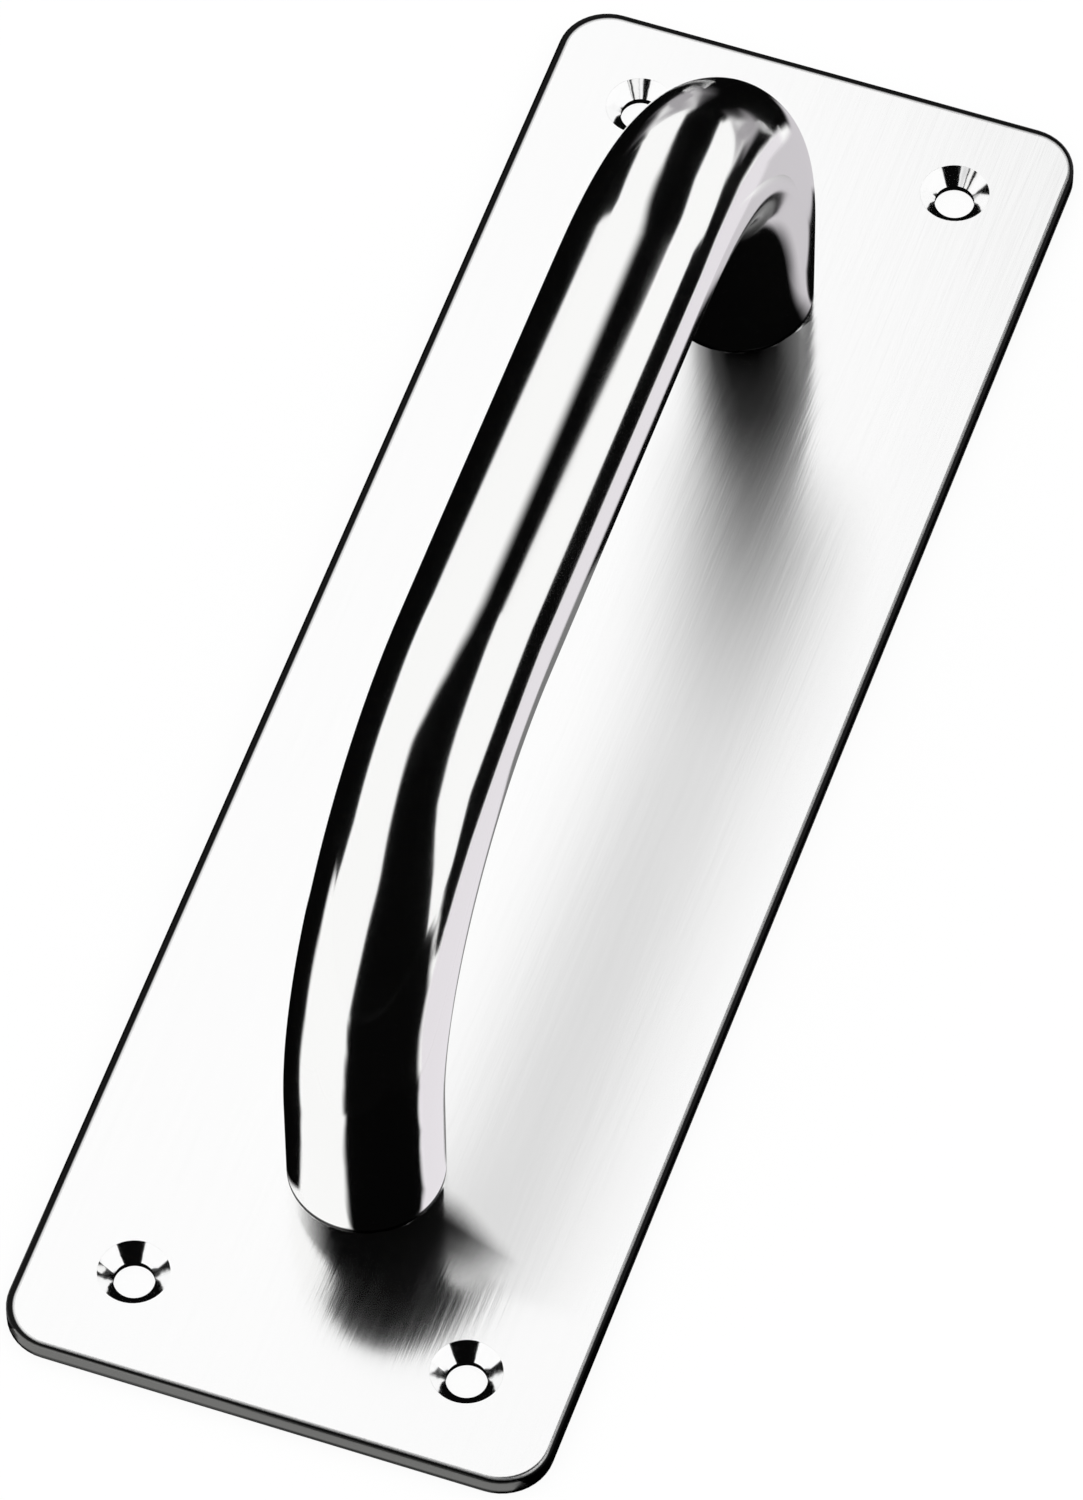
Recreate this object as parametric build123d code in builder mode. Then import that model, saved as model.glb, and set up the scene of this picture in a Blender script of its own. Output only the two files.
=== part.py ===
"""A D-shaped pull handle on a back plate, for a sliding door. Sizes are in millimetres.

The origin is the middle of the plate's back face, which lies on the door. +Z points away
from the door, +Y runs along the plate and +X across it.
"""

import os
from math import radians, tan

from build123d import *

# Back plate, cut from flat sheet
plate_length = 230.0
plate_width = 75.0
plate_thickness = 3.0
plate_corner_radius = 7.0
plate_edge_round = 0.8

# The four countersunk holes that take the screws into the door
fixing_inset = 14.5
fixing_hole_diameter = 5.5
fixing_sink_diameter = 9.6

# The pull, a solid round bar bent into a D and cut off square at both feet
bar_diameter = 21.0
foot_edge_break = 0.3
foot_centres = 150.0
grip_height = 59.5
bend_radius = 44.0

# The countersunk machine screws that hold the pull, put in from behind the plate
screw_diameter = 5.0
screw_clearance = 0.25
screw_head_diameter = 9.4
screw_head_rim = 0.3
screw_head_recess = 0.1
screw_head_gap = 0.05
screw_tip_chamfer = 0.6
socket_across_flats = 3.0
socket_depth = 1.6

# The blind tapped holes in the feet, which the screws bite
thread_engagement = 11.1
thread_clearance = 0.05
tapping_run_out = 2.9
drill_point_angle = 118.0

os.makedirs("parts", exist_ok=True)

front_face = Plane.XY.offset(plate_thickness)
back_face = Plane.XY.rotated((180, 0, 0))
foot_places = {"lower": -foot_centres / 2, "upper": foot_centres / 2}

# A screw head's cone starts this far in from the back face
seat_depth = screw_head_recess + screw_head_rim
rear_sink_diameter = screw_head_diameter + 2 * (seat_depth + screw_head_gap)
screw_tip = plate_thickness + thread_engagement

# Flat plate with rounded corners and a rounded front edge
with BuildPart() as back_plate:
    with BuildSketch():
        RectangleRounded(plate_width, plate_length, plate_corner_radius)
    extrude(amount=plate_thickness)
    fillet(back_plate.faces().sort_by(Axis.Z)[-1].edges(), plate_edge_round)

    # Fixing holes, sunk from the front
    with Locations(front_face):
        with GridLocations(
            plate_width - 2 * fixing_inset, plate_length - 2 * fixing_inset, 2, 2
        ):
            CounterSinkHole(
                radius=fixing_hole_diameter / 2,
                counter_sink_radius=fixing_sink_diameter / 2,
                counter_sink_angle=90,
            )

    # Holes for the pull's own screws, sunk from the back
    with Locations(back_face):
        with GridLocations(1, foot_centres, 1, 2):
            CounterSinkHole(
                radius=screw_diameter / 2 + screw_clearance,
                counter_sink_radius=rear_sink_diameter / 2,
                counter_sink_angle=90,
            )
back_plate.part.label = "back_plate"
export_step(back_plate.part, "parts/back_plate.step")

# Bar swept along its centre line: a leg, a bend, the grip, a bend and a leg
with BuildPart() as pull_bar:
    with BuildLine(Plane.YZ):
        FilletPolyline(
            (foot_places["lower"], plate_thickness),
            (foot_places["lower"], plate_thickness + grip_height),
            (foot_places["upper"], plate_thickness + grip_height),
            (foot_places["upper"], plate_thickness),
            radius=bend_radius,
        )
    with BuildSketch(front_face):
        with Locations((0, foot_places["lower"])):
            Circle(bar_diameter / 2)
    sweep()

    # The cut feet are deburred all round
    foot_rims = pull_bar.edges().filter_by(GeomType.CIRCLE).group_by(Axis.Z)[0]
    chamfer(foot_rims, foot_edge_break)

    # Each foot is drilled and tapped, and the drill leaves a point beyond the thread
    tap_radius = screw_diameter / 2 + thread_clearance
    tap_end = screw_tip + tapping_run_out
    drill_tip = tap_end + tap_radius / tan(radians(drill_point_angle / 2))
    for foot_y in foot_places.values():
        with BuildSketch(Plane.XZ.offset(-foot_y)):
            with BuildLine():
                Polyline(
                    (0, plate_thickness),
                    (tap_radius, plate_thickness),
                    (tap_radius, tap_end),
                    (0, drill_tip),
                    close=True,
                )
            make_face()
        revolve(axis=Axis((0, foot_y, 0), (0, 0, 1)), mode=Mode.SUBTRACT)
pull_bar.part.label = "pull_bar"
export_step(pull_bar.part, "parts/pull_bar.step")

# Two countersunk screws: half of one's outline is turned about its foot's axis
screw_radius = screw_diameter / 2
head_radius = screw_head_diameter / 2
cone_end = seat_depth + head_radius - screw_radius
for end_name, foot_y in foot_places.items():
    with BuildPart() as foot_screw:
        with BuildSketch(Plane.XZ.offset(-foot_y)):
            with BuildLine():
                Polyline(
                    (0, screw_head_recess),
                    (head_radius, screw_head_recess),
                    (head_radius, seat_depth),
                    (screw_radius, cone_end),
                    (screw_radius, screw_tip - screw_tip_chamfer),
                    (screw_radius - screw_tip_chamfer, screw_tip),
                    (0, screw_tip),
                    close=True,
                )
            make_face()
        revolve(axis=Axis((0, foot_y, 0), (0, 0, 1)))

        # Hexagon socket in the head
        with BuildSketch(Plane.XY.offset(screw_head_recess)):
            with Locations((0, foot_y)):
                RegularPolygon(socket_across_flats / 2, 6, major_radius=False)
        extrude(amount=socket_depth, mode=Mode.SUBTRACT)
    foot_screw.part.label = f"{end_name}_foot_screw"
    export_step(foot_screw.part, f"parts/{end_name}_foot_screw.step")
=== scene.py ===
"""A D-shaped pull handle on a back plate, for a sliding door, dressed for a studio picture.

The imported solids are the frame. The pull's bar is made again as a smooth swept bar with real
feet, the plate and the screws keep their solids and get their finishes, and the stage gives
them a pale floor, a white surround, a soft lamp, and the black, grey and pale cards that
draw the bands in the polished steel and the smears in the brushed. Lengths are in metres.
"""

from math import cos, exp, pi, radians, sin, sqrt, tan

import bmesh
import bpy
from bpy.props import FloatProperty, FloatVectorProperty, IntProperty, PointerProperty
from bpy.types import Operator, Panel, PropertyGroup
from mathutils import Matrix, Vector
from mathutils.geometry import normal


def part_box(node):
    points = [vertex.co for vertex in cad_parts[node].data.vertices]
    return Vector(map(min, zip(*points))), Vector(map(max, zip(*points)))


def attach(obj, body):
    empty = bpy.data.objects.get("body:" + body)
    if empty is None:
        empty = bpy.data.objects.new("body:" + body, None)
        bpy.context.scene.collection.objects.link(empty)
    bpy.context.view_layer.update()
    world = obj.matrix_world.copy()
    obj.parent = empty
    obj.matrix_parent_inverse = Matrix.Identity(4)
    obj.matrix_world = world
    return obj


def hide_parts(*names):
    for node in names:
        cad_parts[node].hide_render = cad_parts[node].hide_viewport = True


bl_info = {
    "name": "Door Pull on a Back Plate",
    "version": (1, 0, 0),
    "blender": (4, 5, 0),
    "location": "3D View > Sidebar > Door Pull",
    "description": "Makes a D-shaped steel door pull on its back plate, and a studio for it",
    "category": "Object",
}

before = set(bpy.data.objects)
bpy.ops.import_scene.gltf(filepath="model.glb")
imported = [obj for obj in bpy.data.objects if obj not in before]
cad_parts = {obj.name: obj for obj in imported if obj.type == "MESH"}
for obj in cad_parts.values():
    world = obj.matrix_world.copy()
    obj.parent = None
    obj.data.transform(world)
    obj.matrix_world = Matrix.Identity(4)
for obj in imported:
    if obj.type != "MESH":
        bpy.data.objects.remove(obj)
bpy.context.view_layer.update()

MM = 0.001

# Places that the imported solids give
plate_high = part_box("back_plate")[1]
bar_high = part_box("pull_bar")[1]
plate_front = plate_high.z
bar_radius = bar_high.x
foot_y = bar_high.y - bar_radius

# Sizes of the solids that their boxes don't give
corner_radius = 7.0 * MM
fixing_inset = 14.5 * MM
hole_x = plate_high.x - fixing_inset
hole_y = plate_high.y - fixing_inset
sink_radius = 4.8 * MM
bar_height = 59.5 * MM
bar_bend = 44.0 * MM

# The blind tapped holes in the feet
tap_radius = 2.55 * MM
tap_end = 17.0 * MM
drill_point_angle = 118.0
drill_tip = tap_end + tap_radius / tan(radians(drill_point_angle / 2))

# The cards' black, as a share of white, and how near the close ones come to the steel
BLACK = 0.002
card_gap = 0.25 * MM
card_lift = 0.02 * MM


def linear(hex_colour):
    """A #rrggbb colour as the linear red, green and blue that Blender works in."""
    parts = [int(hex_colour[i : i + 2], 16) / 255 for i in (1, 3, 5)]
    return [p / 12.92 if p <= 0.04045 else ((p + 0.055) / 1.055) ** 2.4 for p in parts]


def opaque(colour):
    """Three colour numbers with full cover added, as a shader's socket wants them."""
    return (*colour, 1.0)


def add_node(tree, kind, feeds=None, **settings):
    """Adds a node with its settings. feeds gives each input a value or the output to link."""
    node = tree.nodes.new(kind)
    for name, value in settings.items():
        setattr(node, name, value)
    for name, value in (feeds or {}).items():
        if isinstance(value, bpy.types.NodeSocket):
            tree.links.new(value, node.inputs[name])
        else:
            node.inputs[name].default_value = value
    return node


class PullBarSettings(PropertyGroup):
    """Sizes and finish of the bar."""

    diameter: FloatProperty(
        name="Bar Diameter",
        description="Across the round bar",
        default=2 * bar_radius,
        min=0.005,
        subtype="DISTANCE",
        unit="LENGTH",
    )
    foot_centres: FloatProperty(
        name="Foot Centres",
        description="From the middle of one foot to the middle of the other",
        default=2 * foot_y,
        min=0.05,
        subtype="DISTANCE",
        unit="LENGTH",
    )
    grip_height: FloatProperty(
        name="Grip Height",
        description="From the plate's front face to the middle of the grip",
        default=bar_height,
        min=0.02,
        subtype="DISTANCE",
        unit="LENGTH",
    )
    bend_radius: FloatProperty(
        name="Bend Radius",
        description="Radius of each bend, on the bar's centre line",
        default=bar_bend,
        min=0.015,
        subtype="DISTANCE",
        unit="LENGTH",
    )
    edge_break: FloatProperty(
        name="Foot Edge Break",
        description="Small chamfer round each cut foot",
        default=0.3 * MM,
        min=0.0001,
        subtype="DISTANCE",
        unit="LENGTH",
    )
    round_segments: IntProperty(
        name="Segments Round",
        description="Flats round the bar",
        default=128,
        min=12,
    )
    bend_segments: IntProperty(
        name="Segments in a Bend",
        description="Short runs that each bend is made of",
        default=48,
        min=6,
    )
    steel: FloatVectorProperty(
        name="Polished Steel",
        description="Colour of the polished steel",
        default=linear("#f8f8f7"),
        size=3,
        min=0.0,
        max=1.0,
        subtype="COLOR",
    )


class BackPlateSettings(PropertyGroup):
    """Finish of the plate."""

    steel: FloatVectorProperty(
        name="Brushed Steel",
        description="Colour of the plate's brushed face",
        default=linear("#fefefe"),
        size=3,
        min=0.0,
        max=1.0,
        subtype="COLOR",
    )
    # Greyer than the face; it shows on the near end's cut face, between the painted dark lines
    cut_edge: FloatVectorProperty(
        name="Cut Edge",
        description="Colour of the plate's cut edges, darkened by the cutting",
        default=linear("#a0a09e"),
        size=3,
        min=0.0,
        max=1.0,
        subtype="COLOR",
    )
    # Width of the painted dark outline: painted shade and painted reflection along the plate's
    # edge
    painted_rim_width: FloatProperty(
        name="Dark Rim",
        description="How far the darkened edge reaches in from the outline",
        default=0.8 * MM,
        min=0.0,
        subtype="DISTANCE",
        unit="LENGTH",
    )
    grain_width: FloatProperty(
        name="Grain Width",
        description="Width of one brushed line, as drawn",
        default=1.0 * MM,
        min=0.00005,
        subtype="DISTANCE",
        unit="LENGTH",
    )


class FootScrewSettings(PropertyGroup):
    """Finish of the two screws."""

    steel: FloatVectorProperty(
        name="Turned Steel",
        description="Colour of the machine screws",
        default=linear("#c9c8c5"),
        size=3,
        min=0.0,
        max=1.0,
        subtype="COLOR",
    )


class StageSettings(PropertyGroup):
    """Floor, light and cards."""

    floor: FloatVectorProperty(
        name="Floor",
        description="Colour of the paper floor",
        default=linear("#f7f7f7"),
        size=3,
        min=0.0,
        max=1.0,
        subtype="COLOR",
    )
    lamp_watts: FloatProperty(
        name="Lamp Power",
        description="Power of the overhead soft lamp",
        default=30.0,
        min=0.0,
        unit="POWER",
    )
    card_height: FloatProperty(
        name="Card Height",
        description="Scale of the large cards. The one overhead hangs 1.05 times as high",
        default=1.5,
        min=0.3,
        subtype="DISTANCE",
        unit="LENGTH",
    )


def new_material(name):
    """An empty node material and its tree, with the output in place."""
    material = bpy.data.materials.new(name)
    material.use_nodes = True
    material.node_tree.nodes.clear()
    return material, material.node_tree


def polished_stainless_bar(steel):
    """Stainless steel bar, ground and then buffed to a mirror along its length.

    To the eye it is a dark-and-bright mirror of the room. The buffing leaves a faint haze in
    uneven patches and a slight waviness, which soften an edge but don't blur it.
    """
    material, tree = new_material("polished_stainless_bar")
    place = add_node(tree, "ShaderNodeTexCoord").outputs["Object"]
    # Haze in patches of some 12 mm
    haze = add_node(
        tree,
        "ShaderNodeTexNoise",
        {"Vector": place, "Scale": 80.0, "Detail": 3.0, "Roughness": 0.6},
    )
    gloss = add_node(
        tree,
        "ShaderNodeMapRange",
        {
            "Value": haze.outputs["Fac"],
            "From Min": 0.3,
            "From Max": 0.7,
            "To Min": 0.075,
            "To Max": 0.105,
        },
    )
    # A painted contact shadow: the colour darkens to a dark line where each foot meets the plate
    level = add_node(tree, "ShaderNodeSeparateXYZ", {"Vector": place})
    foot_contact_shadow = add_node(
        tree,
        "ShaderNodeMapRange",
        {
            "Value": level.outputs["Z"],
            "From Min": plate_front + 0.3 * MM,
            "From Max": plate_front + 0.55 * MM,
            "To Min": 0.06,
            "To Max": 1.0,
        },
    )
    colour = add_node(
        tree,
        "ShaderNodeVectorMath",
        {0: steel, "Scale": foot_contact_shadow.outputs["Result"]},
        operation="SCALE",
    )
    # Waviness that polishing leaves, about 6 mm across and a micron or so deep
    wave = add_node(
        tree,
        "ShaderNodeTexNoise",
        {"Vector": place, "Scale": 160.0, "Detail": 1.0},
    )
    dents = add_node(
        tree,
        "ShaderNodeBump",
        {"Height": wave.outputs["Fac"], "Strength": 0.12, "Distance": 0.02 * MM},
    )
    shader = add_node(
        tree,
        "ShaderNodeBsdfPrincipled",
        {
            "Base Color": colour.outputs["Vector"],
            "Metallic": 1.0,
            "Roughness": gloss.outputs["Result"],
            "Normal": dents.outputs["Normal"],
        },
    )
    add_node(tree, "ShaderNodeOutputMaterial", {"Surface": shader.outputs["BSDF"]})
    return material


def brushed_stainless_sheet(steel, cut_edge, painted_rim_width, grain_width):
    """Stainless steel sheet, belt-brushed along its length and cut to shape.

    The brushing leaves fine lines along the plate, which spread a reflection across them and
    give it streaked edges. The cut and rounded outer edge is duller and greyer than the face,
    and its outline is painted near black as painted shade and painted reflection.
    """
    material, tree = new_material("brushed_stainless_sheet")
    place = add_node(tree, "ShaderNodeTexCoord").outputs["Object"]
    # Lines 25 times as long as wide; real ones are near 0.1 mm, drawn wider to show at all
    lines_across = 1 / grain_width
    stretched = add_node(
        tree,
        "ShaderNodeMapping",
        {
            "Vector": place,
            "Scale": (lines_across, lines_across / 25, lines_across),
        },
    )
    grain = add_node(
        tree,
        "ShaderNodeTexNoise",
        {"Vector": stretched.outputs["Vector"], "Scale": 1.0, "Detail": 4.0, "Roughness": 0.6},
    )
    gloss = add_node(
        tree,
        "ShaderNodeMapRange",
        {
            "Value": grain.outputs["Fac"],
            "From Min": 0.25,
            "From Max": 0.75,
            "To Min": 0.1,
            "To Max": 0.15,
        },
    )
    tone = add_node(
        tree,
        "ShaderNodeMapRange",
        {
            "Value": grain.outputs["Fac"],
            "From Min": 0.3,
            "From Max": 0.7,
            "To Min": 0.98,
            "To Max": 1.0,
        },
    )
    face = add_node(
        tree,
        "ShaderNodeVectorMath",
        {0: steel, "Scale": tone.outputs["Result"]},
        operation="SCALE",
    )

    # How far a point lies outside the rectangle through the middles of the corner rounds. At
    # the plate's outline that is the corner radius. The rectangle is shifted, so that the painted
    # dark rim is wider at the far and left sides, as a painted shadow along those sides
    shadow_shift = (-0.3 * MM, 0.35 * MM, 0.0)
    moved = add_node(tree, "ShaderNodeVectorMath", {0: place, 1: shadow_shift}, operation="ADD")
    moved = add_node(
        tree, "ShaderNodeVectorMath", {0: moved.outputs["Vector"]}, operation="ABSOLUTE"
    )
    inner = (plate_high.x - corner_radius, plate_high.y - corner_radius, 1.0)
    past = add_node(
        tree, "ShaderNodeVectorMath", {0: moved.outputs["Vector"], 1: inner}, operation="SUBTRACT"
    )
    beyond = add_node(
        tree, "ShaderNodeVectorMath", {0: past.outputs["Vector"]}, operation="MAXIMUM"
    )
    corner = add_node(
        tree, "ShaderNodeVectorMath", {0: beyond.outputs["Vector"]}, operation="LENGTH"
    )
    sides = add_node(tree, "ShaderNodeSeparateXYZ", {"Vector": past.outputs["Vector"]})
    nearer = add_node(
        tree,
        "ShaderNodeMath",
        {0: sides.outputs["X"], 1: sides.outputs["Y"]},
        operation="MAXIMUM",
    )
    within = add_node(
        tree, "ShaderNodeMath", {0: nearer.outputs["Value"], 1: 0.0}, operation="MINIMUM"
    )
    outwards = add_node(
        tree,
        "ShaderNodeMath",
        {0: corner.outputs["Value"], 1: within.outputs["Value"]},
        operation="ADD",
    )
    # The countersinks were turned after the brushing, so they are smoother
    spot = add_node(tree, "ShaderNodeVectorMath", {0: place}, operation="ABSOLUTE")
    aside = add_node(
        tree,
        "ShaderNodeVectorMath",
        {0: spot.outputs["Vector"], 1: (hole_x, hole_y, 0.0)},
        operation="SUBTRACT",
    )
    flat = add_node(
        tree,
        "ShaderNodeVectorMath",
        {0: aside.outputs["Vector"], 1: (1.0, 1.0, 0.0)},
        operation="MULTIPLY",
    )
    from_hole = add_node(
        tree, "ShaderNodeVectorMath", {0: flat.outputs["Vector"]}, operation="LENGTH"
    )
    sunk = add_node(
        tree,
        "ShaderNodeMath",
        {0: from_hole.outputs["Value"], 1: sink_radius},
        operation="LESS_THAN",
    )
    turned_gloss = 0.09
    turned = add_node(
        tree,
        "ShaderNodeMix",
        {"Factor": sunk.outputs["Value"], "A": gloss.outputs["Result"], "B": turned_gloss},
        data_type="FLOAT",
    )
    unsunk = add_node(
        tree, "ShaderNodeMath", {0: 1.0, 1: sunk.outputs["Value"]}, operation="SUBTRACT"
    )
    lines = add_node(
        tree,
        "ShaderNodeMath",
        {0: grain.outputs["Fac"], 1: unsunk.outputs["Value"]},
        operation="MULTIPLY",
    )
    scored = add_node(
        tree,
        "ShaderNodeBump",
        {"Height": lines.outputs["Value"], "Strength": 0.5, "Distance": 0.025 * MM},
    )
    rim_start = corner_radius - painted_rim_width
    # Where the painted dark outline begins, in from the plate's outline
    cut = add_node(
        tree,
        "ShaderNodeMapRange",
        {
            "Value": outwards.outputs["Value"],
            "From Min": rim_start - 0.1 * MM,
            "From Max": rim_start + 0.1 * MM,
        },
    )
    # The edge is painted nearly black, as painted shade and painted reflection, but for a grey
    # cut face at the near end
    painted_dark_outline = linear("#1c1c1c")
    # Away from the near end the whole edge is painted black; at the near end only its rounded top
    # is, as a painted reflection
    level = add_node(tree, "ShaderNodeSeparateXYZ", {"Vector": place})
    past_end = add_node(
        tree,
        "ShaderNodeMapRange",
        {
            "Value": level.outputs["Y"],
            "From Min": 1.5 * MM - plate_high.y,
            "From Max": 3.0 * MM - plate_high.y,
            "To Max": 3.0 * MM,
        },
    )
    raised = add_node(
        tree,
        "ShaderNodeMath",
        {0: level.outputs["Z"], 1: past_end.outputs["Result"]},
        operation="ADD",
    )
    rounded = add_node(
        tree,
        "ShaderNodeMapRange",
        {
            "Value": raised.outputs["Value"],
            "From Min": plate_front - 0.6 * MM,
            "From Max": plate_front - 0.3 * MM,
        },
    )
    # A painted contact shadow: a dark line along the bottom of the edge, where the plate lies on
    # the floor
    contact_shadow_line = add_node(
        tree,
        "ShaderNodeMapRange",
        {
            "Value": level.outputs["Z"],
            "From Min": 0.4 * MM,
            "From Max": 0.9 * MM,
            "To Min": 1.0,
            "To Max": 0.0,
        },
    )
    black = add_node(
        tree,
        "ShaderNodeMath",
        {0: rounded.outputs["Result"], 1: contact_shadow_line.outputs["Result"]},
        operation="MAXIMUM",
    )
    side = add_node(
        tree,
        "ShaderNodeMix",
        {"Factor": black.outputs["Value"], "A": cut_edge, "B": painted_dark_outline},
        data_type="VECTOR",
    )
    colour = add_node(
        tree,
        "ShaderNodeMix",
        {"Factor": cut.outputs["Result"], "A": face.outputs["Vector"], "B": side.outputs[1]},
        data_type="VECTOR",
    )
    dressed = add_node(
        tree,
        "ShaderNodeMapRange",
        {
            "Value": outwards.outputs["Value"],
            "From Min": rim_start - 0.3 * MM,
            "From Max": rim_start - 0.2 * MM,
        },
    )
    edge_gloss = 0.4
    dull = add_node(
        tree,
        "ShaderNodeMix",
        {"Factor": dressed.outputs["Result"], "A": turned.outputs[0], "B": edge_gloss},
        data_type="FLOAT",
    )
    # The lines run along Y, so the gloss spreads along X
    spread = add_node(tree, "ShaderNodeCombineXYZ", {"X": 1.0, "Y": 0.0, "Z": 0.0})
    shader = add_node(
        tree,
        "ShaderNodeBsdfPrincipled",
        {
            "Base Color": colour.outputs[1],
            "Metallic": 1.0,
            "Roughness": dull.outputs[0],
            "Anisotropic": 0.35,
            "Tangent": spread.outputs["Vector"],
            "Normal": scored.outputs["Normal"],
        },
    )
    add_node(tree, "ShaderNodeOutputMaterial", {"Surface": shader.outputs["BSDF"]})
    return material


def turned_stainless_screw(steel):
    """Stainless machine screw, cold formed and turned, with a plain satin surface.

    The turning leaves faint rings round each screw's axis, which catch the light as thin arcs.
    """
    material, tree = new_material("turned_stainless_screw")
    place = add_node(tree, "ShaderNodeTexCoord").outputs["Object"]
    # Both screws stand on the same line, one at each foot, so the sign of Y drops out
    spot = add_node(tree, "ShaderNodeSeparateXYZ", {"Vector": place})
    along = add_node(tree, "ShaderNodeMath", {0: spot.outputs["Y"]}, operation="ABSOLUTE")
    from_axis = add_node(
        tree, "ShaderNodeMath", {0: along.outputs["Value"], 1: foot_y}, operation="SUBTRACT"
    )
    flat = add_node(
        tree,
        "ShaderNodeCombineXYZ",
        {"X": spot.outputs["X"], "Y": from_axis.outputs["Value"]},
    )
    out = add_node(tree, "ShaderNodeVectorMath", {0: flat.outputs["Vector"]}, operation="LENGTH")
    ring_spacing = 0.25 * MM
    ring = add_node(
        tree,
        "ShaderNodeMath",
        {0: out.outputs["Value"], 1: 2 * pi / ring_spacing},
        operation="MULTIPLY",
    )
    ripple = add_node(tree, "ShaderNodeMath", {0: ring.outputs["Value"]}, operation="SINE")
    turned = add_node(
        tree,
        "ShaderNodeBump",
        {"Height": ripple.outputs["Value"], "Strength": 0.15, "Distance": 0.01 * MM},
    )
    shader = add_node(
        tree,
        "ShaderNodeBsdfPrincipled",
        {
            "Base Color": opaque(steel),
            "Metallic": 1.0,
            "Roughness": 0.28,
            "Normal": turned.outputs["Normal"],
        },
    )
    add_node(tree, "ShaderNodeOutputMaterial", {"Surface": shader.outputs["BSDF"]})
    return material


def bar_tree(steel):
    """Geometry Nodes that sweep a round bar along a D: up a leg, over the grip and down."""
    tree = bpy.data.node_groups.new("swept_pull_bar", "GeometryNodeTree")
    sizes = ("Diameter", "Foot Centres", "Grip Level", "Foot Level", "Bend Radius")
    tree.interface.new_socket("Geometry", in_out="INPUT", socket_type="NodeSocketGeometry")
    for name in sizes:
        tree.interface.new_socket(name, in_out="INPUT", socket_type="NodeSocketFloat")
    for name in ("Round Segments", "Bend Segments"):
        tree.interface.new_socket(name, in_out="INPUT", socket_type="NodeSocketInt")
    tree.interface.new_socket("Geometry", in_out="OUTPUT", socket_type="NodeSocketGeometry")
    given = add_node(tree, "NodeGroupInput").outputs

    # Four corners: foot, top of the leg, top of the other leg, foot
    line = add_node(tree, "GeometryNodeCurvePrimitiveLine", {"End": (0.0, 1.0, 0.0)})
    corners = add_node(
        tree, "GeometryNodeResampleCurve", {"Curve": line.outputs["Curve"], "Count": 4}
    )
    index = add_node(tree, "GeometryNodeInputIndex").outputs["Index"]
    from_middle = add_node(tree, "ShaderNodeMath", {0: index, 1: 1.5}, operation="SUBTRACT")
    which_end = add_node(
        tree, "ShaderNodeMath", {0: from_middle.outputs["Value"]}, operation="SIGN"
    )
    half = add_node(
        tree, "ShaderNodeMath", {0: given["Foot Centres"], 1: 0.5}, operation="MULTIPLY"
    )
    place_y = add_node(
        tree,
        "ShaderNodeMath",
        {0: which_end.outputs["Value"], 1: half.outputs["Value"]},
        operation="MULTIPLY",
    )
    how_far = add_node(
        tree, "ShaderNodeMath", {0: from_middle.outputs["Value"]}, operation="ABSOLUTE"
    )
    at_top = add_node(
        tree, "ShaderNodeMath", {0: how_far.outputs["Value"], 1: 1.0}, operation="LESS_THAN"
    )
    place_z = add_node(
        tree,
        "ShaderNodeMix",
        {
            "Factor": at_top.outputs["Value"],
            "A": given["Foot Level"],
            "B": given["Grip Level"],
        },
        data_type="FLOAT",
    )
    corner = add_node(
        tree,
        "ShaderNodeCombineXYZ",
        {"Y": place_y.outputs["Value"], "Z": place_z.outputs[0]},
    )
    route = add_node(
        tree,
        "GeometryNodeSetPosition",
        {"Geometry": corners.outputs["Curve"], "Position": corner.outputs["Vector"]},
    )
    bent = add_node(
        tree,
        "GeometryNodeFilletCurve",
        {
            "Curve": route.outputs["Geometry"],
            "Count": given["Bend Segments"],
            "Radius": given["Bend Radius"],
        },
        mode="POLY",
    )
    radius = add_node(
        tree, "ShaderNodeMath", {0: given["Diameter"], 1: 0.5}, operation="MULTIPLY"
    )
    section = add_node(
        tree,
        "GeometryNodeCurvePrimitiveCircle",
        {"Resolution": given["Round Segments"], "Radius": radius.outputs["Value"]},
    )
    swept = add_node(
        tree,
        "GeometryNodeCurveToMesh",
        {"Curve": bent.outputs["Curve"], "Profile Curve": section.outputs["Curve"]},
    )
    smooth = add_node(tree, "GeometryNodeSetShadeSmooth", {"Geometry": swept.outputs["Mesh"]})
    real = add_node(
        tree, "GeometryNodeRealizeInstances", {"Geometry": smooth.outputs["Geometry"]}
    )
    finished = add_node(
        tree,
        "GeometryNodeSetMaterial",
        {"Geometry": real.outputs["Geometry"], "Material": steel},
    )
    add_node(tree, "NodeGroupOutput", {"Geometry": finished.outputs["Geometry"]})
    return tree


def mesh_from_tree(name, tree, sizes):
    """Runs the tree with these inputs and returns a plain object that holds its result."""
    holder = bpy.data.objects.new(f"{name}_holder", bpy.data.meshes.new(f"{name}_holder"))
    bpy.context.scene.collection.objects.link(holder)
    nodes = holder.modifiers.new("build", "NODES")
    nodes.node_group = tree
    for item in tree.interface.items_tree:
        if item.in_out == "INPUT" and item.name in sizes:
            nodes[item.identifier] = sizes[item.name]
    seen = bpy.context.evaluated_depsgraph_get()
    mesh = bpy.data.meshes.new_from_object(holder.evaluated_get(seen), depsgraph=seen)
    mesh.name = name
    holder.modifiers.remove(nodes)
    bpy.data.objects.remove(holder)
    piece = bpy.data.objects.new(name, mesh)
    bpy.context.scene.collection.objects.link(piece)
    return piece


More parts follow.
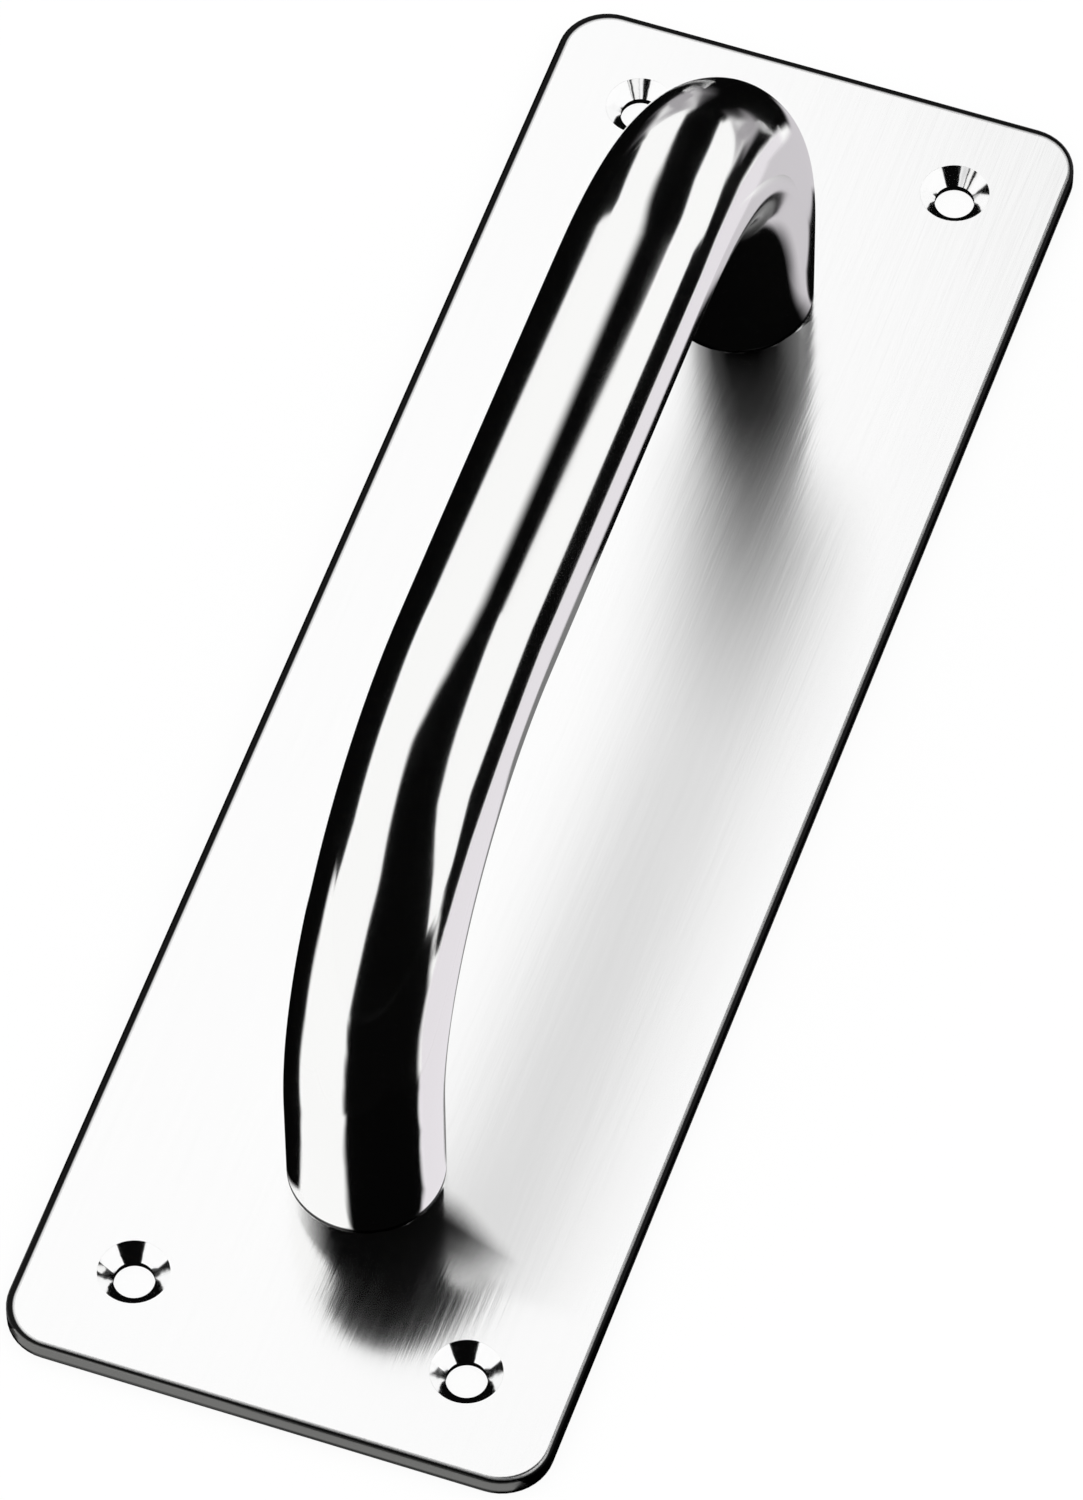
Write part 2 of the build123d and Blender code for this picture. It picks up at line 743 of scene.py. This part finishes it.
def close_foot(shape, middle_y, rings):
    """Closes the bar's open end at one foot with rings of (radius, level), then a point."""
    loop = [e for e in shape.edges if e.is_boundary and e.verts[0].co.y * middle_y > 0]
    axis = Vector((0, middle_y, 0))
    for radius, level in rings:
        grown = bmesh.ops.extrude_edge_only(shape, edges=loop)["geom"]
        loop = [g for g in grown if isinstance(g, bmesh.types.BMEdge)]
        for corner in (g for g in grown if isinstance(g, bmesh.types.BMVert)):
            away = corner.co - axis
            away.z = 0
            corner.co = axis + away.normalized() * radius
            corner.co.z = level
    tip = shape.verts.new((0, middle_y, drill_tip))
    for edge in loop:
        shape.faces.new((*edge.verts, tip))


class DOOR_PULL_OT_pull_bar(Operator):
    """Make the polished bar, swept along its D, with deburred and tapped feet"""

    bl_idname = "door_pull.make_pull_bar"
    bl_label = "Make Pull Bar"

    def execute(self, context):
        sizes = context.scene.pull_bar_settings
        if sizes.bend_radius > min(sizes.grip_height, sizes.foot_centres / 2):
            raise ValueError("the bend radius is too large for the grip height or foot centres")
        steel = polished_stainless_bar(sizes.steel)
        piece = mesh_from_tree(
            "smooth_pull_bar",
            bar_tree(steel),
            {
                "Diameter": sizes.diameter,
                "Foot Centres": sizes.foot_centres,
                "Grip Level": plate_front + sizes.grip_height,
                "Foot Level": plate_front + sizes.edge_break,
                "Bend Radius": sizes.bend_radius,
                "Round Segments": sizes.round_segments,
                "Bend Segments": sizes.bend_segments,
            },
        )
        shape = bmesh.new()
        shape.from_mesh(piece.data)
        # Each foot: a small chamfer, the flat cut face, the tapped hole and the drill's point
        rings = (
            (sizes.diameter / 2 - sizes.edge_break, plate_front),
            (tap_radius, plate_front),
            (tap_radius, tap_end),
        )
        for middle_y in (-sizes.foot_centres / 2, sizes.foot_centres / 2):
            close_foot(shape, middle_y, rings)
        bmesh.ops.recalc_face_normals(shape, faces=shape.faces)
        for face in shape.faces:
            face.smooth = True
        shape.to_mesh(piece.data)
        shape.free()
        piece.data.set_sharp_from_angle(angle=radians(30))
        if not piece.data.materials:
            piece.data.materials.append(steel)
        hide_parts("pull_bar")
        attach(piece, "root")
        return {"FINISHED"}


class DOOR_PULL_OT_back_plate(Operator):
    """Give the plate its brushed face, its greyer cut edge and its painted dark outline of shade
    and reflection
    """

    bl_idname = "door_pull.finish_back_plate"
    bl_label = "Finish Back Plate"

    def execute(self, context):
        look = context.scene.back_plate_settings
        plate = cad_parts["back_plate"]
        plate.material_slots[0].material = brushed_stainless_sheet(
            look.steel, look.cut_edge, look.painted_rim_width, look.grain_width
        )
        return {"FINISHED"}


class DOOR_PULL_OT_foot_screws(Operator):
    """Give the two hidden screws their turned steel"""

    bl_idname = "door_pull.finish_foot_screws"
    bl_label = "Finish Foot Screws"

    def execute(self, context):
        steel = turned_stainless_screw(context.scene.foot_screw_settings.steel)
        for name in ("lower_foot_screw", "upper_foot_screw"):
            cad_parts[name].material_slots[0].material = steel
        return {"FINISHED"}


def paper_floor(colour):
    """Matt white studio paper. It stays white to the eye and in the steel, and takes a
    faint shadow from the handle."""
    material, tree = new_material("paper_floor")
    path = add_node(tree, "ShaderNodeLightPath").outputs
    seen = add_node(
        tree,
        "ShaderNodeMath",
        {0: path["Is Camera Ray"], 1: path["Is Glossy Ray"]},
        operation="MAXIMUM",
    )
    seen_through = add_node(
        tree,
        "ShaderNodeMath",
        {0: seen.outputs["Value"], 1: path["Is Transmission Ray"]},
        operation="MAXIMUM",
    )
    # Of what the eye and the steel see, this much is plain white and the rest is lit paper
    white_share = 0.9
    share = add_node(
        tree,
        "ShaderNodeMath",
        {0: seen_through.outputs["Value"], 1: white_share},
        operation="MULTIPLY",
    )
    paper = add_node(tree, "ShaderNodeBsdfDiffuse", {"Color": opaque(colour)})
    white = add_node(tree, "ShaderNodeEmission", {"Color": (1, 1, 1, 1), "Strength": 1.0})
    both = add_node(
        tree,
        "ShaderNodeMixShader",
        {"Fac": share.outputs["Value"], 1: paper.outputs["BSDF"], 2: white.outputs["Emission"]},
    )
    add_node(tree, "ShaderNodeOutputMaterial", {"Surface": both.outputs["Shader"]})
    return material


def studio_card(name, tint, one_sided=False):
    """Card that only the steel sees. A corner's tone is its brightness, and its cover thins the
    card towards a soft edge, as a card's edge is out of focus in a real reflection."""
    material, tree = new_material(name)
    cover = add_node(tree, "ShaderNodeAttribute", attribute_name="cover")
    shown = add_node(
        tree,
        "ShaderNodeMapRange",
        {"Value": cover.outputs["Fac"]},
        interpolation_type="SMOOTHSTEP",
    ).outputs["Result"]
    if one_sided:
        # Its back doesn't show, so a card close to the steel hides nothing from it
        back = add_node(tree, "ShaderNodeNewGeometry").outputs["Backfacing"]
        front = add_node(tree, "ShaderNodeMath", {0: 1.0, 1: back}, operation="SUBTRACT")
        shown = add_node(
            tree, "ShaderNodeMath", {0: shown, 1: front.outputs["Value"]}, operation="MULTIPLY"
        ).outputs["Value"]
    tone = add_node(tree, "ShaderNodeAttribute", attribute_name="tone")
    clear = add_node(tree, "ShaderNodeBsdfTransparent")
    light = add_node(
        tree, "ShaderNodeEmission", {"Color": opaque(tint), "Strength": tone.outputs["Fac"]}
    )
    mixed = add_node(
        tree,
        "ShaderNodeMixShader",
        {"Fac": shown, 1: clear.outputs["BSDF"], 2: light.outputs["Emission"]},
    )
    add_node(tree, "ShaderNodeOutputMaterial", {"Surface": mixed.outputs["Shader"]})
    return material


def hang_card(name, patches, card):
    """Hangs a card made of flat patches, each a ring of corners (place, cover, tone). It shows
    only in reflections and casts no shadow."""
    mesh = bpy.data.meshes.new(name)
    corners = [corner for patch in patches for corner in patch]
    faces = []
    for patch in patches:
        first = faces[-1][-1] + 1 if faces else 0
        faces.append(tuple(range(first, first + len(patch))))
    mesh.from_pydata([corner[0] for corner in corners], [], faces)
    for place, kind in ((1, "cover"), (2, "tone")):
        values = mesh.attributes.new(kind, "FLOAT", "POINT")
        values.data.foreach_set("value", [corner[place] for corner in corners])
    mesh.materials.append(card)
    piece = bpy.data.objects.new(name, mesh)
    bpy.context.scene.collection.objects.link(piece)
    piece.visible_camera = False
    piece.visible_diffuse = False
    piece.visible_transmission = False
    piece.visible_shadow = False


def woven(rows):
    """Patches between neighbouring corners of neighbouring rows."""
    return [
        (above[i], above[i + 1], below[i + 1], below[i])
        for above, below in zip(rows, rows[1:])
        for i in range(len(above) - 1)
    ]


def feathered(outline, widths, tone):
    """Patches of a flat card: the full card, and a band of these widths in which it thins to
    nothing. The outline runs anticlockwise, seen from the card's front."""
    front = normal(outline)
    inner, outer = [], []
    for before, here, after, width in zip(
        outline[-1:] + outline[:-1], outline, outline[1:] + outline[:1], widths
    ):
        along = (here - before).normalized() + (after - here).normalized()
        out = along.normalized().cross(front) * width / 2
        inner.append((here - out, 1.0, tone))
        outer.append((here + out, 0.0, tone))
    patches = [tuple(inner)]
    for i, corner in enumerate(inner):
        patches.append((inner[i - 1], outer[i - 1], outer[i], corner))
    return patches


def level_sheet(outline, level, tone, softness=0.12):
    """Patches of a card that lies level, with its outline in millimetres. Its edge is softer
    the farther it is from the nearer foot, in this proportion."""
    places = [Vector((x * MM, y * MM, level)) for x, y in outline]
    feet = [Vector((0, side * foot_y, level)) for side in (-1, 1)]
    widths = [softness * min((place - foot).length for foot in feet) for place in places]
    return feathered(places, widths, tone)


def hang_long_flag(height, card):
    """The long black card between the two white sides, which draws the dark bands along the
    grip. It rises from the floor beyond the far end, passes overhead and comes down again on
    the camera's side."""
    # In card heights: y, z, then x and softness of the left edge and of the right edge
    rows = (
        (2.23, 0.0, -0.62, 0.08, 0.25, 0.06),
        (2.23, 0.22, -0.61, 0.08, 0.39, 0.06),
        (2.23, 0.47, -0.6, 0.1, 0.58, 0.06),
        (2.23, 0.78, -0.57, 0.14, 0.79, 0.08),
        (2.23, 1.05, -0.54, 0.2, 0.98, 0.1),
        (1.43, 1.05, -0.33, 0.3, 1.07, 0.08),
        (1.08, 1.05, -0.22, 0.28, 1.0, 0.07),
        (0.96, 1.05, -0.16, 0.28, 0.95, 0.06),
        (0.86, 1.05, -0.1, 0.28, 0.81, 0.05),
        (0.75, 1.05, -0.04, 0.3, 0.66, 0.05),
        (0.65, 1.05, 0.03, 0.32, 0.56, 0.05),
        (0.38, 1.05, -0.02, 0.3, 0.56, 0.05),
        (0.13, 1.05, -0.13, 0.24, 0.59, 0.05),
        (-0.1, 1.05, -0.29, 0.18, 0.63, 0.06),
        (-0.25, 1.05, -0.41, 0.14, 0.69, 0.07),
        (-0.54, 1.05, -0.41, 0.1, 0.9, 0.08),
        (-0.75, 1.05, -0.39, 0.1, 1.3, 0.1),
        (-1.0, 1.05, -0.36, 0.08, 1.9, 0.12),
        (-1.27, 1.05, -0.32, 0.08, 2.6, 0.14),
        (-1.27, 0.9, -0.285, 0.07, 2.65, 0.12),
        (-1.27, 0.37, -0.265, 0.06, 2.8, 0.1),
        (-1.27, 0.0, -0.28, 0.06, 2.9, 0.1),
    )
    lines = []
    for y, z, left, soft_left, right, soft_right in rows:
        marks = (
            (left - soft_left / 2, 0.0),
            (left + soft_left / 2, 1.0),
            (right - soft_right / 2, 1.0),
            (right + soft_right / 2, 0.0),
        )
        lines.append([(Vector((x, y, z)) * height, cover, BLACK) for x, cover in marks])
    hang_card("long_flag", woven(lines), card)


def stand_side_cards(height, card):
    """A black card along the left side, and a low one along the right."""
    # In card heights: x and softness of each card, then y and z of their outlines
    left_x, left_softness = -1.5, 0.09
    right_x, right_softness = 2.0, 0.04
    left = (
        (2.2, -0.06),
        (2.04, 0.33),
        (1.61, 0.97),
        (1.4, 1.0),
        (1.2, 0.66),
        (0.95, 0.43),
        (0.29, 0.48),
        (-0.05, 0.41),
        (-0.35, 0.33),
        (-0.46, 0.15),
        (-0.5, -0.06),
    )
    outline = [Vector((left_x, y, z)) * height for y, z in left]
    widths = [left_softness * height] * len(outline)
    hang_card("left_card", feathered(outline, widths, BLACK), card)
    right = ((-0.33, -0.05), (1.7, -0.05), (1.5, 0.25), (0.61, 0.33), (0.0, 0.36), (-0.2, 0.08))
    outline = [Vector((right_x, y, z)) * height for y, z in right]
    widths = [right_softness * height] * len(outline)
    hang_card("right_card", feathered(outline, widths, BLACK), card)


def lay_floor_cards(card, lilac):
    """Cards on the floor round the plate, where the steel's lower sides look."""
    level = 0.4 * MM
    above = level + 0.1 * MM
    grey = 0.45
    dark = (
        # Along the left side
        (
            *((-30, -91), (-30, 150), (-45, 190), (-72, 208), (-100, 228), (-241, 412)),
            *((-2250, 3100), (-3300, 3300), (-3300, -1050), (-2250, -720), (-635, -180)),
            *((-194, -120), (-73, -99), (-46, -92)),
        ),
        # Beyond the far end
        (
            *((10, 100), (16.5, 127), (39.5, 146), (51, 201), (70, 320), (88, 620)),
            *((375, 3345), (-930, 3345), (-322, 1228), (-69, 284), (-50, 200), (-30, 100)),
        ),
        # Out to the right
        (
            *((139, -78), (196, -113), (305, -125), (741, -204), (3000, -500), (3700, -600)),
            *((3700, 3100), (1300, 1100), (600, 850), (126, 312), (51, 201), (39.5, 146)),
            (68, 164),
            *((110, 180), (145, 160), (152, 125), (162, 85), (168, 40), (185, 5), (200, -25)),
            *((185, -50), (160, -68)),
        ),
        # Before the near end, on the right
        (
            *((-2, -100), (-3.3, -121), (-10, -155), (-26, -242), (-171, -896)),
            *((-420, -1905), (4350, -1905), (1200, -450), (403, -162), (196, -113)),
            *((118, -92), (80, -91), (60, -86), (46, -81), (30, -80)),
        ),
    )
    patches = [patch for outline in dark for patch in level_sheet(outline, level, BLACK)]
    # Under the plate, and in the line along its right edge
    under = ((-38, -115), (38, -115), (38, 115), (-38, 115))
    patches += level_sheet(under, -0.02 * MM, BLACK, softness=0.0)
    beside = ((37, -115), (41, -115), (41, 115), (37, 115))
    patches += level_sheet(beside, above, BLACK, softness=0.0)
    hang_card("dark_floor_cards", patches, card)
    # Along the near end, where its cut face looks
    before = ((-37, -120), (37, -120), (37, -114), (-37, -114))
    hang_card("grey_floor_card", level_sheet(before, above, grey, softness=0.0), card)
    # Between the dark ones on the right, where the grip's lower side looks
    pale = (
        *((30, -80), (46, -81), (60, -86), (80, -91), (118, -90), (139, -77), (160, -68)),
        *((185, -50), (200, -25), (185, 5), (168, 40), (162, 85), (152, 125), (145, 160)),
        *((110, 180), (68, 164), (39.5, 146), (30, 140)),
    )
    hang_card("lilac_floor_card", level_sheet(pale, level, 1.0), lilac)
    # In the tips of the white wedges beyond the far end, which the far bend mirrors
    tips = (
        ((50, 195), (126, 312), (300, 560), (170, 700), (88, 620), (70, 320)),
        ((-45, 185), (-50, 200), (-69, 284), (-200, 800), (-330, 640), (-241, 412), (-90, 225)),
    )
    tip_level = level + 0.2 * MM
    patches = [patch for tip in tips for patch in level_sheet(tip, tip_level, grey, softness=0.4)]
    hang_card("wedge_tip_cards", patches, lilac)


def lay_plate_cards(card, lilac):
    """Cards a hair above the plate, seen only from above: what the legs mirror."""
    level = plate_front + 0.05 * MM
    step = 0.02 * MM
    deep_black, grey, dim = 0.0015, 0.2, 0.75
    dark = (
        # Left of the near foot
        (
            *((-8, -40), (-43, -40), (-43, -91.5), (-24, -90), (-14.6, -85.1)),
            *((-8.2, -83.5), (-10.3, -75), (-8, -60)),
        ),
        # Before the near foot, on the right
        (
            *((1.6, -85.7), (0.3, -91.6), (-1.3, -103), (-2, -121), (43, -121)),
            *((43, -79.5), (31.6, -77.9), (23, -76), (17.7, -77), (12.6, -78), (9.6, -79.7)),
        ),
        # Behind the far foot, on the right
        ((10.5, 76), (15, 80), (17, 88), (12, 96), (4, 96), (8, 84)),
    )
    patches = [patch for outline in dark for patch in level_sheet(outline, level, deep_black)]
    # Before the far foot, softer away from it
    before = ((-43, 20), (43, 20), (43, 75), (22, 74.5), (12, 75), (-11, 73), (-43, 72))
    patches += level_sheet(before, level + step, deep_black, softness=0.4)
    hang_card("dark_plate_cards", patches, card)
    # Under the grip, where its right edge looks
    under = (
        *((-12, -70), (9.3, -74), (10.6, -70), (11, -67), (11.2, -63.5), (11.4, -58)),
        *((11.8, -50), (15, -42), (20, -27), (24, -18), (43, -8), (43, 25), (-12, 25)),
    )
    hang_card("grey_plate_card", level_sheet(under, level + 2 * step, grey), card)
    # Before the near foot, on the left
    white = (
        *((-43, -91.5), (-43, -121), (-2, -121), (-1.3, -103), (0.3, -91.6)),
        *((1.6, -85.7), (-8.2, -83.5), (-14.6, -85.1), (-24, -90)),
    )
    hang_card("white_plate_card", level_sheet(white, level + 3 * step, 1.0), card)
    # Right of the near foot and of the grip, and round the far foot's right
    pale = (
        *((9.6, -79.7), (12.6, -78), (17.7, -77), (23, -76), (31.6, -77.9), (43, -79.5)),
        *((43, -8), (24, -18), (20, -27), (15, -42), (11.8, -50), (11.4, -58)),
        *((11.2, -63.5), (11, -67), (10.6, -70), (9.3, -74)),
    )
    patches = level_sheet(pale, level + 4 * step, 1.0)
    pale = ((6, 60), (43, 60), (43, 121), (0, 121), (-6, 98), (0, 84))
    patches += level_sheet(pale, level - step, dim, softness=0.2)
    hang_card("lilac_plate_cards", patches, lilac)


def line_the_pull(card):
    """A card along the inner side of the pull, seen only by the plate. It gives the plate the
    black smear before the far foot and the soft trail under the grip."""
    clear = bar_radius + card_gap
    grip_z = plate_front + bar_height
    middle_y, middle_z = foot_y - bar_bend, grip_z - bar_bend
    # Along the bar's middle line: y, z and the direction of the inner side
    route = [(foot_y, plate_front + card_lift, (-1.0, 0.0))]
    for angle in range(0, 91, 6):
        out = (cos(radians(angle)), sin(radians(angle)))
        place = (middle_y + bar_bend * out[0], middle_z + bar_bend * out[1])
        route.append((*place, (-out[0], -out[1])))
    # Over to the near half, and halfway down its bend
    route += [(-y, z, (-inward[0], inward[1])) for y, z, inward in route[:8:-1]]
    # Across the bar, in millimetres
    columns = range(-12, 25, 2)
    lines = []
    for y, z, inward in route:
        # From 0 at the far foot to 1 under the grip, the black fades to a light grey, moves
        # to the right, and grows wider and softer
        low = z + clear * inward[1] - plate_front
        share = 1.0 if y < middle_y else low / (grip_z - clear - plate_front)
        depth = 1.0 - 0.72 * share**3
        middle = 4.5 + 3.3 * share
        half_width = 7.6 + 2.4 * share
        steepness = 6.0 - 4.0 * min(share / 0.6, 1.0)
        line = []
        for column in columns:
            x = column * MM
            lift = sqrt(max(clear * clear - x * x, 0.0))
            place = Vector((x, y + lift * inward[0], z + lift * inward[1]))
            off = abs(column - middle) / half_width
            # Beside the leg and the bend it would show in the steel itself
            cover = 1.0 if abs(column) < 11 else min(max((share - 0.5) / 0.3, 0.0), 1.0)
            if column in (columns[0], columns[-1]):
                cover = 0.0
            line.append((place, cover, 1.0 - depth * exp(-(off**steepness))))
        lines.append(line)
    hang_card("inner_lining", woven(lines), card)


def wrap_near_leg(card):
    """A black card round the near leg's front, with a wing to its right, seen only by the
    plate. It gives the plate the smear before the near foot."""
    # Round the leg: angle about it, height in mm and cover
    round_leg = (
        *((-134, 3, 0.0), (-122, 5, 0.35), (-110, 7.5, 0.62), (-98, 10, 0.85), (-85, 12, 1.0)),
        *((-70, 17, 1.0), (-55, 22, 1.0), (-40, 27, 1.0), (-25, 30, 1.0), (-12, 30, 1.0)),
        (0, 30, 1.0),
    )
    # The wing: x, y and height in mm, and cover. It leans over to the near side, so that the
    # leg looks at its back, which doesn't show
    wing = (
        *((10.9, -74.2, 16, 1.0), (14, -75.2, 14, 0.95), (16.5, -76.7, 12, 0.85)),
        *((19, -78.4, 9.5, 0.68), (21.8, -80, 7, 0.4), (25, -81.4, 4.5, 0.0)),
    )
    lean_x, lean_y = -0.47, -0.58
    radius = bar_radius + card_gap
    low = plate_front + card_lift
    # Share of the height, and how much of the cover the leg's card and the wing have there
    rows = (
        (0.0, 1.0, 0.0),
        (0.3, 1.0, 1.0),
        (0.5, 1.0, 0.9),
        (0.8, 1.0, 0.6),
        (1.25, 0.0, 0.0),
    )
    leg_lines, wing_lines = [], []
    for share, on_leg, on_wing in rows:
        line = []
        for angle, top, cover in round_leg:
            x, y = radius * cos(radians(angle)), radius * sin(radians(angle)) - foot_y
            line.append((Vector((x, y, low + share * top * MM)), cover * on_leg, BLACK))
        leg_lines.append(line)
        line = []
        for x, y, top, cover in wing:
            rise = share * top
            place = Vector((x + lean_x * rise, y + lean_y * rise, rise)) * MM
            place.z += low
            line.append((place, cover * on_wing, BLACK))
        wing_lines.append(line)
    hang_card("near_leg_wrap", woven(leg_lines) + woven(wing_lines), card)


def soft_lamp(name, place, target, side, watts):
    """A large soft square lamp at a place, turned to face a target. The steel doesn't show it."""
    data = bpy.data.lights.new(name, "AREA")
    data.shape = "SQUARE"
    data.size = side
    data.energy = watts
    lamp = bpy.data.objects.new(name, data)
    lamp.location = place
    lamp.rotation_mode = "QUATERNION"
    lamp.rotation_quaternion = (Vector(target) - Vector(place)).to_track_quat("-Z", "Y")
    lamp.visible_camera = False
    lamp.visible_glossy = False
    bpy.context.scene.collection.objects.link(lamp)


def aim_camera():
    """The camera of the picture: from the right of the near end, high up and far off."""
    data = bpy.data.cameras.new("camera")
    data.sensor_width = 36
    data.lens = 288
    data.clip_start = 0.05
    data.clip_end = 50
    camera = bpy.data.objects.new("camera", data)
    right = Vector((0.94308194, 0.3325, -0.00634042))
    up = Vector((-0.27238906, 0.78324409, 0.55886752))
    back = Vector((0.19078955, -0.5253308, 0.82923272))
    place = Vector((0.30657749, -0.85021829, 1.33589229))
    turn = Matrix((right, up, back)).transposed()
    camera.matrix_world = Matrix.Translation(place) @ turn.to_4x4()
    bpy.context.scene.collection.objects.link(camera)
    bpy.context.scene.camera = camera


def white_surround():
    """A plain white room. The eye, the steel and the floor all get the same white from it."""
    world = bpy.data.worlds.new("white_surround")
    world.use_nodes = True
    tree = world.node_tree
    tree.nodes.clear()
    white = add_node(tree, "ShaderNodeBackground", {"Color": (1, 1, 1, 1), "Strength": 1.0})
    add_node(tree, "ShaderNodeOutputWorld", {"Surface": white.outputs["Background"]})
    bpy.context.scene.world = world


class DOOR_PULL_OT_stage(Operator):
    """Make the floor, the white surround, the lamp, the cards and the camera"""

    bl_idname = "door_pull.set_stage"
    bl_label = "Set the Stage"

    def execute(self, context):
        look = context.scene.stage_settings
        mesh = bpy.data.meshes.new("floor")
        reach, floor_level = 12.0, -0.05 * MM
        corners = ((-reach, -reach), (reach, -reach), (reach, reach), (-reach, reach))
        mesh.from_pydata([(x, y, floor_level) for x, y in corners], [], [(0, 1, 2, 3)])
        mesh.materials.append(paper_floor(look.floor))
        floor = bpy.data.objects.new("floor", mesh)
        context.scene.collection.objects.link(floor)

        height = look.card_height
        card = studio_card("studio_card", (1, 1, 1))
        near_card = studio_card("close_card", (1, 1, 1), one_sided=True)
        lilac = linear("#e9e5ea")
        hang_long_flag(height, card)
        stand_side_cards(height, card)
        lay_floor_cards(card, studio_card("lilac_card", lilac))
        lay_plate_cards(near_card, studio_card("close_lilac_card", lilac, one_sided=True))
        line_the_pull(near_card)
        wrap_near_leg(near_card)
        lamp_place, lamp_side = (0, 0, 1.8), 7.0
        soft_lamp("overhead_lamp", lamp_place, (0, 0, 0), lamp_side, look.lamp_watts)
        white_surround()
        aim_camera()
        context.scene.view_settings.view_transform = "Standard"
        return {"FINISHED"}


class DOOR_PULL_PT_panel(Panel):
    """Sidebar panel with the steps in their order"""

    bl_label = "Door Pull"
    bl_idname = "DOOR_PULL_PT_panel"
    bl_space_type = "VIEW_3D"
    bl_region_type = "UI"
    bl_category = "Door Pull"

    def draw(self, context):
        steps = (
            (DOOR_PULL_OT_back_plate, context.scene.back_plate_settings),
            (DOOR_PULL_OT_pull_bar, context.scene.pull_bar_settings),
            (DOOR_PULL_OT_foot_screws, context.scene.foot_screw_settings),
            (DOOR_PULL_OT_stage, context.scene.stage_settings),
        )
        for operator, settings in steps:
            box = self.layout.box()
            for name in settings.__annotations__:
                box.prop(settings, name)
            box.operator(operator.bl_idname)


settings_groups = {
    "back_plate_settings": BackPlateSettings,
    "pull_bar_settings": PullBarSettings,
    "foot_screw_settings": FootScrewSettings,
    "stage_settings": StageSettings,
}
classes = (
    *settings_groups.values(),
    DOOR_PULL_OT_back_plate,
    DOOR_PULL_OT_pull_bar,
    DOOR_PULL_OT_foot_screws,
    DOOR_PULL_OT_stage,
    DOOR_PULL_PT_panel,
)


def register():
    for kind in classes:
        bpy.utils.register_class(kind)
    for name, group in settings_groups.items():
        setattr(bpy.types.Scene, name, PointerProperty(type=group))


def unregister():
    for name in settings_groups:
        delattr(bpy.types.Scene, name)
    for kind in reversed(classes):
        bpy.utils.unregister_class(kind)


def main():
    register()
    bpy.ops.door_pull.finish_back_plate()
    bpy.ops.door_pull.make_pull_bar()
    bpy.ops.door_pull.finish_foot_screws()
    bpy.ops.door_pull.set_stage()


if __name__ == "__main__":
    main()
